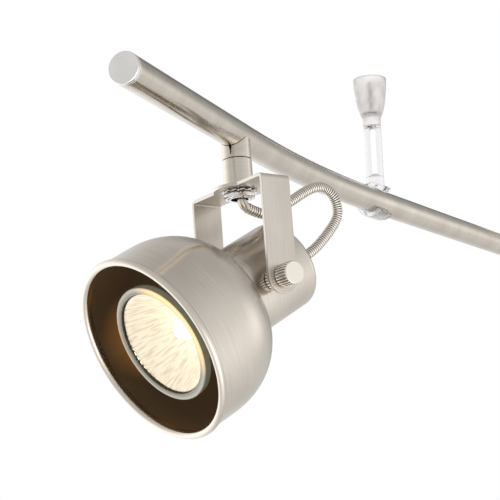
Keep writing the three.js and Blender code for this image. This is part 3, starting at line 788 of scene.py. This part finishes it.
def rear_cover():
    top = BARREL_BACK - 0.3
    outline = [(0, top - 2.2), (14.3, top - 2.2), (15, top - 1.6), (15, top), (0, top)]
    lathe("rear_cover_detail", outline, HEAD, SATIN, "head", ["rear_cover"],
          sides=120, round_by=0.5)
    low = -30.0
    collar = [(2.65, top - 2.0), (5.0, top - 2.0), (4.3, top - 2.9), (4.3, low), (2.65, low)]
    lathe("rear_collar", collar, moved(HEAD, y=2.2), SATIN, "head", (),
          sides=64, round_by=0.4)


def shade_profile(radius, neck):
    """The straight wall's end and the quarter-ellipse shoulder down to the neck."""
    return [
        (radius - (radius - NECK_RADIUS) * (1 - math.cos(a)), SHOULDER - (SHOULDER - neck) * math.sin(a))
        for a in np.linspace(0, math.pi / 2, 22)]


def shade():
    outer = shade_profile(SHADE_RADIUS, NECK)[::-1]
    inner = shade_profile(SHADE_RADIUS - SHADE_WALL, NECK + SHADE_WALL)
    roll_at, centre = SHADE_RADIUS - 0.7, RIM_FRONT - RIM_ROLL
    roll = [(roll_at + RIM_ROLL * math.cos(a), centre + RIM_ROLL * math.sin(a))
            for a in np.radians(np.linspace(-62, 242, 26))]
    straight = [(SHADE_RADIUS, h) for h in (44, 48, 52)]
    back = [(SHADE_RADIUS - SHADE_WALL, h) for h in (52, 48, 44)]
    flange = [(16.8, NECK + SHADE_WALL), (16.8, NECK)]
    rows = lathe_rows([*outer, *straight, *roll, *back, *inner, *flange], 192)
    mesh = grid_mesh("shade_detail", rows, wrap_rows=True)
    place("shade_detail", mesh, HEAD, SATIN, "head", ["shade"])


def shade_lining():
    """A thin dark skin just inside the shade."""
    skin, thick = 0.06, 0.1
    outside, floor_at, lip_radius = SHADE_RADIUS - SHADE_WALL - skin, NECK + SHADE_WALL + skin, 17.1
    front = [(outside, h) for h in (54, 50, 45)]
    face = shade_profile(outside, floor_at)
    inside = shade_profile(outside - thick, floor_at + thick)[::-1]
    rear = [(outside - thick, h) for h in (45, 50, 54)]
    lip = [(lip_radius, floor_at), (lip_radius, floor_at + thick)]
    rows = lathe_rows([*front, *face, *lip, *inside, *rear], 192)
    mesh = grid_mesh("shade_lining", rows, wrap_rows=True)
    place("shade_lining", mesh, HEAD, LINING, "head", ())


KNOB_RADIUS, KNOB_SIDES, KNURL_RIBS, KNURL_DEPTH = 5.0, 300, 25, 0.34


def knurled_rows(low, high):
    """Rings with straight ribs between two heights, with a chamfer at both ends."""
    groove = 1 - np.abs(np.sin(angles_round(KNOB_SIDES) * KNURL_RIBS / 2)) ** 0.8
    rows = []
    for h in np.linspace(low, high, 16):
        chamfer = max(0, 0.35 - min(h - low, high - h))
        rows.append(ring_row(KNOB_RADIUS - KNURL_DEPTH * groove - chamfer, h, KNOB_SIDES))
    return rows


def store_knurl(mesh, low, high):
    """Stores the depth of the knurl between two heights; the plain faces count as crests."""
    points = np.array([vertex.co for vertex in mesh.vertices])
    across = np.linalg.norm(points[:, :2], axis=1)
    knurled = (points[:, 2] > low) & (points[:, 2] < high) & (across > KNOB_RADIUS - 2 * KNURL_DEPTH)
    store_grooves(mesh, np.where(knurled, (KNOB_RADIUS - across) / KNURL_DEPTH, 0))


def knob(side, name):
    """A knurled thumb knob on its shaft; its frame's Z points out of the leg."""
    where = turned_about(HEAD, "Y", 90 * side)
    seat, face, tip = YOKE_HALF + 0.3, 33.9, 15.5
    shaft = lathe_rows([(0, tip), (1.6, tip), (1.9, tip + 0.3), (1.9, seat), (4.2, seat)], KNOB_SIDES)
    front = lathe_rows([(4.6, face - 0.15), (4.45, face), (4.2, face), (0, face)], KNOB_SIDES)
    mesh = grid_mesh(name + "_detail", [*shaft, *knurled_rows(seat + 0.05, face - 0.35), *front])
    store_knurl(mesh, seat + 0.1, face - 0.4)
    place(name + "_detail", mesh, where, GROOVE_SHADED, name, [name])


def spacer(side, name):
    where = turned_about(HEAD, "Y", 90 * side)
    low, high = BARREL_RADIUS + 0.3, YOKE_HALF - STRIP - 0.3
    bore = [ring_row(SHAFT_HOLE, h, KNOB_SIDES) for h in (high, low)]
    mesh = grid_mesh(name + "_detail", [*knurled_rows(low, high), *bore], wrap_rows=True)
    store_knurl(mesh, low, high)
    place(name + "_detail", mesh, where, GROOVE_SHADED, "head", [name])


# ---------------------------------------- the lamp
MIRROR_FOOT, MIRROR_DEPTH, MIRROR_HOLE, MIRROR_RIM = 24.4, 24.5, 5.0, 21.9


def mirror_radius(h):
    """The reflector's inner radius at a height, narrowest at the capsule's hole."""
    t = max(0.0, (h - MIRROR_FOOT) / MIRROR_DEPTH)
    return MIRROR_HOLE + (MIRROR_RIM - MIRROR_HOLE) * t ** 0.56


def lamp_reflector():
    """Pressed glass with rows of small flat facets inside, a thick clear rim and a coated back."""
    sides, swell = 120, 0.08
    outer = [(9, 20), (9.8, 22.5), (12.4, 26), (16.4, 31.5), (20.0, 38), (22.4, 43), (23.6, 46.0),
             (24.8, 47.4), (25, 47.8), (25, 50.7), (24.85, 51.0), (24.5, 51.2), (23.0, 51.2),
             (22.45, 51.1), (22.3, 50.8), (22.3, 49.95), (21.9, 49.9)]
    heights = np.linspace(0, 1, 12) ** 1.5 * MIRROR_DEPTH + MIRROR_FOOT
    facets = [(mirror_radius(h), h) for h in heights[::-1]]
    neck = [(4.8, 24.2), (4.8, 20)]
    rows = lathe_rows([*outer, *facets, *neck], sides)
    for row in rows[len(outer):len(outer) + len(facets) - 1]:
        for c, (x, y, z) in enumerate(row):
            radius = math.hypot(x, y)
            scale = 1 + swell * ((1 if c % 2 else -1) + random.uniform(-0.3, 0.3)) / radius
            row[c] = (x * scale, y * scale, z)
    mesh = grid_mesh("lamp_reflector_detail", rows, wrap_rows=True)
    materials = [LAMP_BODY, FACETS, LAMP_SEAM, RIM_FRONT_GLASS]
    piece = place("lamp_reflector_detail", mesh, HEAD, materials, "lamp", ["lamp_reflector"],
                  sharp=12)
    for polygon in piece.data.polygons:
        centre = polygon.center / MM
        radius = math.hypot(centre.x, centre.y)
        if centre.z > 50.75:
            polygon.material_index = materials.index(RIM_FRONT_GLASS)
        elif centre.z > 49 and radius < 22.5:
            polygon.material_index = materials.index(LAMP_SEAM)
        elif centre.z > 24 and radius < mirror_radius(centre.z) + 0.6:
            polygon.material_index = materials.index(FACETS)
            polygon.use_smooth = False


def lamp_front():
    glass = [(0, 48.95), (21.9, 48.95), (21.9, 49.7), (21.6, 49.85), (0, 49.85)]
    lathe("lamp_cover_glass_detail", glass, HEAD, GLASS, "lamp", ["lamp_cover_glass"],
          sides=128, round_by=0.12)
    capsule = [(0, 21.5), (3.2, 21.5), (3.2, 24.8), (4.0, 26.2), (4.6, 28), (4.6, 36), (3.9, 38.6),
               (2.4, 40.3), (0, 41)]
    lathe("lamp_capsule_detail", capsule, HEAD, CAPSULE, "lamp", ["lamp_capsule"],
          sides=48, round_by=0.6)


# ---------------------------------------- the clear support
CEILING = 67.5
CUP_FOOT = CEILING - 22.5
SUPPORT_LEAN = 2.3


def joined(target, tool, operation):
    """Applies a boolean of two linked objects to the first, and removes the second."""
    modifier = target.modifiers.new("cut", "BOOLEAN")
    modifier.operation = operation
    modifier.object = tool
    modifier.solver = "EXACT"
    bpy.context.view_layer.update()
    evaluated = target.evaluated_get(bpy.context.evaluated_depsgraph_get())
    mesh = bpy.data.meshes.new_from_object(evaluated)
    target.modifiers.clear()
    target.data = mesh
    bpy.data.objects.remove(tool)


def loose(name, mesh):
    piece = bpy.data.objects.new(name, mesh)
    bpy.context.collection.objects.link(piece)
    return piece


def support():
    where = turned_about(on_rail(SUPPORT_AT), "X", SUPPORT_LEAN)
    top, foot, wall = CEILING - 0.4, CUP_FOOT, 1.4
    rim = top - foot
    flare = [(6.6, 4.8), (7.2, 7.2), (7.7, 10), (8.1, 12.8), (8.4, 15.6), (8.7, 18.4)]
    inside = [(radius - wall, height) for radius, height in flare[::-1]]
    cup = [
        (0, -4), (4.5, -4), (4.7, -3.8), (4.7, -1.0), (4.7, 0), (5.3, 1.5), (6.0, 3.1), *flare,
        (8.8, rim - 1.2), (8.8, rim), (7.4, rim), (7.4, rim - 2), *inside, (4.4, 3.2), (3.2, 2.6), (0, 2.6)]
    cup = [(radius, foot + height) for radius, height in cup]
    lathe("support_cup_detail", cup, where, CLEAR_CUP, "rail", ["support_cup"],
          sides=72, round_by=0.3)
    seat, pitch = foot + 2.9, 1.1
    screw = [(0, seat), (2.9, seat), (3.1, seat + 0.4), (2.9, seat + 1.6), (1.5, seat + 2.0)]
    for h in np.arange(seat + 3.0, top - 2.6, pitch):
        screw += [(1.15, h), (1.6, h + pitch / 2)]
    screw += [(1.2, top - 2), (0, top - 1)]
    lathe("support_screw_detail", screw, where, CHROME, "rail", ["support_screw"],
          sides=40, round_by=0)
    support_hook(where)


def support_hook(where):
    """One moulding: a slotted stem, and a hook behind and under the rail with a turned-up lip."""
    top, low, radius = CUP_FOOT - 4.3, 6.95, 4.7
    stem = soften([(0, low), (radius, low), (radius, top), (0, top)], 0.4)
    base = loose("support_hook_detail", grid_mesh("stem", lathe_rows(stem, 64)))
    upright = Matrix.Rotation(math.pi / 2, 4, "X")

    slot_half, slot_foot, slot_top, slot_turn = 1.5, 14.0, 39.2, 27
    outline = [(-slot_half, slot_foot), (slot_half, slot_foot)]
    outline += circle(slot_half, 17, 0, slot_top, 0, math.pi)
    slot = plate("slot", [outline], 30, bevel=0.01, resolution=0)
    slot.transform(Matrix.Rotation(math.radians(90 + slot_turn), 4, "Z") @ upright)
    joined(base, loose("slot", slot), "DIFFERENCE")

    inner, outer, reach, width = 6.75, 9.2, math.radians(128), 13.4
    outline = circle(outer, 72, 0, 0, reach, -2 * reach) + circle(inner, 72, 0, 0, -reach, 2 * reach)
    arch = plate("arch", [outline], width, bevel=0.5)
    arch.transform(Matrix.Rotation(math.pi / 2, 4, "Z") @ upright)
    joined(base, loose("arch", arch), "UNION")

    tab = plate("tab", [[(1.5, -3.2), (8.4, -2.9), (10.6, -1.5), (8.4, -0.1), (1.5, 0.2)]], 1.3, bevel=0.3)
    tab.transform(Matrix.Translation((0, 0, 8.5)))
    joined(base, loose("tab", tab), "UNION")
    mesh = base.data
    bpy.data.objects.remove(base)
    place("support_hook_detail", mesh, where, CLEAR, "rail", ["support_hook"])


# ---------------------------------------- the feed at the ceiling
def feed():
    where = on_rail(FEED_AT)
    foot = CEILING - 20
    outer = [(26, foot), (37, foot + 0.7), (42.5, foot + 2), (47, foot + 3.7), (50.8, foot + 6),
             (53, foot + 9), (54, foot + 13), (54, CEILING)]
    inner = [(r - 1, h + (1 if r < 50 else 0)) for r, h in outer[::-1][:-1]]
    canopy = [(STEM_BORE, foot), *outer, *inner, (26, foot + 1), (STEM_BORE, foot + 1)]
    upright = Matrix.Translation(where.translation)
    lathe("canopy_shell_detail", canopy, upright, SATIN, "rail", ["canopy_shell"],
          sides=160, round_by=0.5)
    low = foot - 0.3
    collar = [(STEM_BORE, low - 4.5), (6.9, low - 4.5), (7.4, low - 4.0), (9, low - 3.0), (9, low),
              (STEM_BORE, low)]
    lathe("canopy_collar_detail", collar, where, SATIN, "rail", ["canopy_collar"],
          round_by=0.4)
    stem = [(STEM_BORE, 11.8), (STEM_RADIUS, 11.8), (STEM_RADIUS, low - 4.8), (STEM_BORE, low - 4.8)]
    lathe("feed_stem_detail", stem, where, SATIN, "rail", ["feed_stem"],
          round_by=0.35)
    thread = thread_outline(NIPPLE_RADIUS, NIPPLE_BORE, 8, CEILING - 2.8)
    lathe("feed_nipple_detail", thread, where, CHROME, "rail", ["feed_nipple"],
          sides=64, round_by=0)
    hex_nut("strap_nut_detail", where, "rail", 15, CEILING - 6.8, CEILING - 2.8, math.pi / 7,
            "strap_nut")
    half, width, thick, slot_at, slot_half, slot_reach = 46, 9, 2.5, 36, 2.2, 2.8
    outline = [(-half, -width), (half, -width), (half, width), (-half, width)]
    slots = [
        circle(slot_half, 9, side * slot_at + slot_reach, 0, -math.pi / 2, math.pi)
        + circle(slot_half, 9, side * slot_at - slot_reach, 0, math.pi / 2, math.pi)
        for side in (-1, 1)]
    strap = plate("mounting_strap_detail", [soften(outline, 2.0, 5, closed=True), *slots], thick)
    place("mounting_strap_detail", strap, moved(where, z=CEILING - thick / 2), CHROME, "rail",
          ["mounting_strap"])
    saddle("feed_saddle_detail", turned_about(where, "X", 180), "feed_saddle")


# ---------------------------------------- CAD nodes that stay
def finish_kept_nodes():
    for node, material in (
            ("rail_lead", INSULATION), ("lamp_socket", CERAMIC), ("socket_bracket", CHROME),
            ("lamp_base", CERAMIC), ("lamp_pin_a", CHROME), ("lamp_pin_b", CHROME)):
        holder = frame["nodes"][node]
        holder.data.materials.clear()
        holder.data.materials.append(material)


# ---------------------------------------- the studio and the floor
# Soft boxes, brighter than the walls, and flags, darker: the direction from the object, the reach in
# degrees, and what each adds to the walls' strength at its middle
STUDIO_WALLS = 0.77
STUDIO_PATCHES = (
    ((0.26, -0.92, -0.31), 72, 0.38),       # right wall
    ((0.25, 0.96, -0.11), 72, 1.1),         # left wall
    ((0.64, -0.76, 0.12), 28, 0.6),         # strip on the right
    ((0.88, 0.10, 0.45), 40, -0.55),        # high flag behind
    ((0.75, -0.57, 0.34), 28, -0.27),       # flag behind on the right
    ((0.15, -0.25, 0.95), 60, -0.2),        # ceiling
    ((-0.38, -0.42, -0.82), 72, 0.9),       # table in front
    ((-0.39, -0.69, -0.61), 44, 1.0),       # low box in front
)


def world_light():
    """A pale studio. The camera and clear pieces see plain white; reflections see boxes and flags."""
    world = bpy.data.worlds.new("studio")
    bpy.context.scene.world = world
    world.use_nodes = True
    world.node_tree.nodes.clear()
    nodes = Nodes(world.node_tree)
    where = nodes.add("ShaderNodeTexCoord").outputs["Generated"]
    total = STUDIO_WALLS
    for direction, reach, strength in STUDIO_PATCHES:
        cosine = nodes.with_vector("DOT_PRODUCT", where, Vector(direction).normalized())
        angle = nodes.calculate("ARCCOSINE", cosine)
        patch = nodes.ranged(angle, 0, 1, math.radians(reach), 0, curve="SMOOTHSTEP")
        total = nodes.calculate("MULTIPLY_ADD", patch, strength, total)
    seen = nodes.add("ShaderNodeBackground", Color=(1, 1, 1, 1))
    reflected = nodes.add("ShaderNodeBackground", [("Strength", total)], Color=(1, 0.99, 0.975, 1))
    path = nodes.add("ShaderNodeLightPath").outputs
    straight = nodes.calculate("MAXIMUM", path["Is Camera Ray"], path["Is Transmission Ray"])
    mix = nodes.add("ShaderNodeMixShader", [
        (0, straight), (1, reflected.outputs["Background"]), (2, seen.outputs["Background"])])
    nodes.add("ShaderNodeOutputWorld", [("Surface", mix.outputs["Shader"])])


def floor():
    mesh = bpy.data.meshes.new("floor")
    half, drop = 12.0, -1.7
    mesh.from_pydata([(-half, -half, drop), (half, -half, drop), (half, half, drop), (-half, half, drop)],
                     [], [(0, 1, 2, 3)])
    mesh.materials.append(matte_material("pale_floor", (0.80, 0.80, 0.79), (0.84, 0.84, 0.83), 0.8, 4))
    plane = bpy.data.objects.new("floor", mesh)
    bpy.context.collection.objects.link(plane)
    plane.visible_glossy = False


rail_tube()
end_cap("end_cap_near", RAIL_START, -1)
end_cap("end_cap_far", RAIL_END, 1)
saddle("head_saddle_detail", STEM, "head_saddle")
stem_sleeve()
lathe("swivel_nipple_detail", thread_outline(NIPPLE_RADIUS, NIPPLE_BORE, -NIPPLE_END, -7.0), STEM,
      CHROME, "swivel", ["swivel_nipple"], sides=64, round_by=0)
yoke()
lock_washer()
hex_nut("nipple_nut_detail", SWIVEL, "swivel", 13, -28.7, -26.9, math.pi / 7, "nipple_nut")
conduit_ferrule()
flex_conduit()
barrel()
rear_cover()
shade()
shade_lining()
for side, word in ((-1, "near"), (1, "far")):
    knob(side, "knob_" + word)
    spacer(side, "spacer_" + word)
lamp_reflector()
lamp_front()
support()
feed()
finish_kept_nodes()
world_light()
floor()
bpy.context.scene.view_settings.view_transform = "Standard"
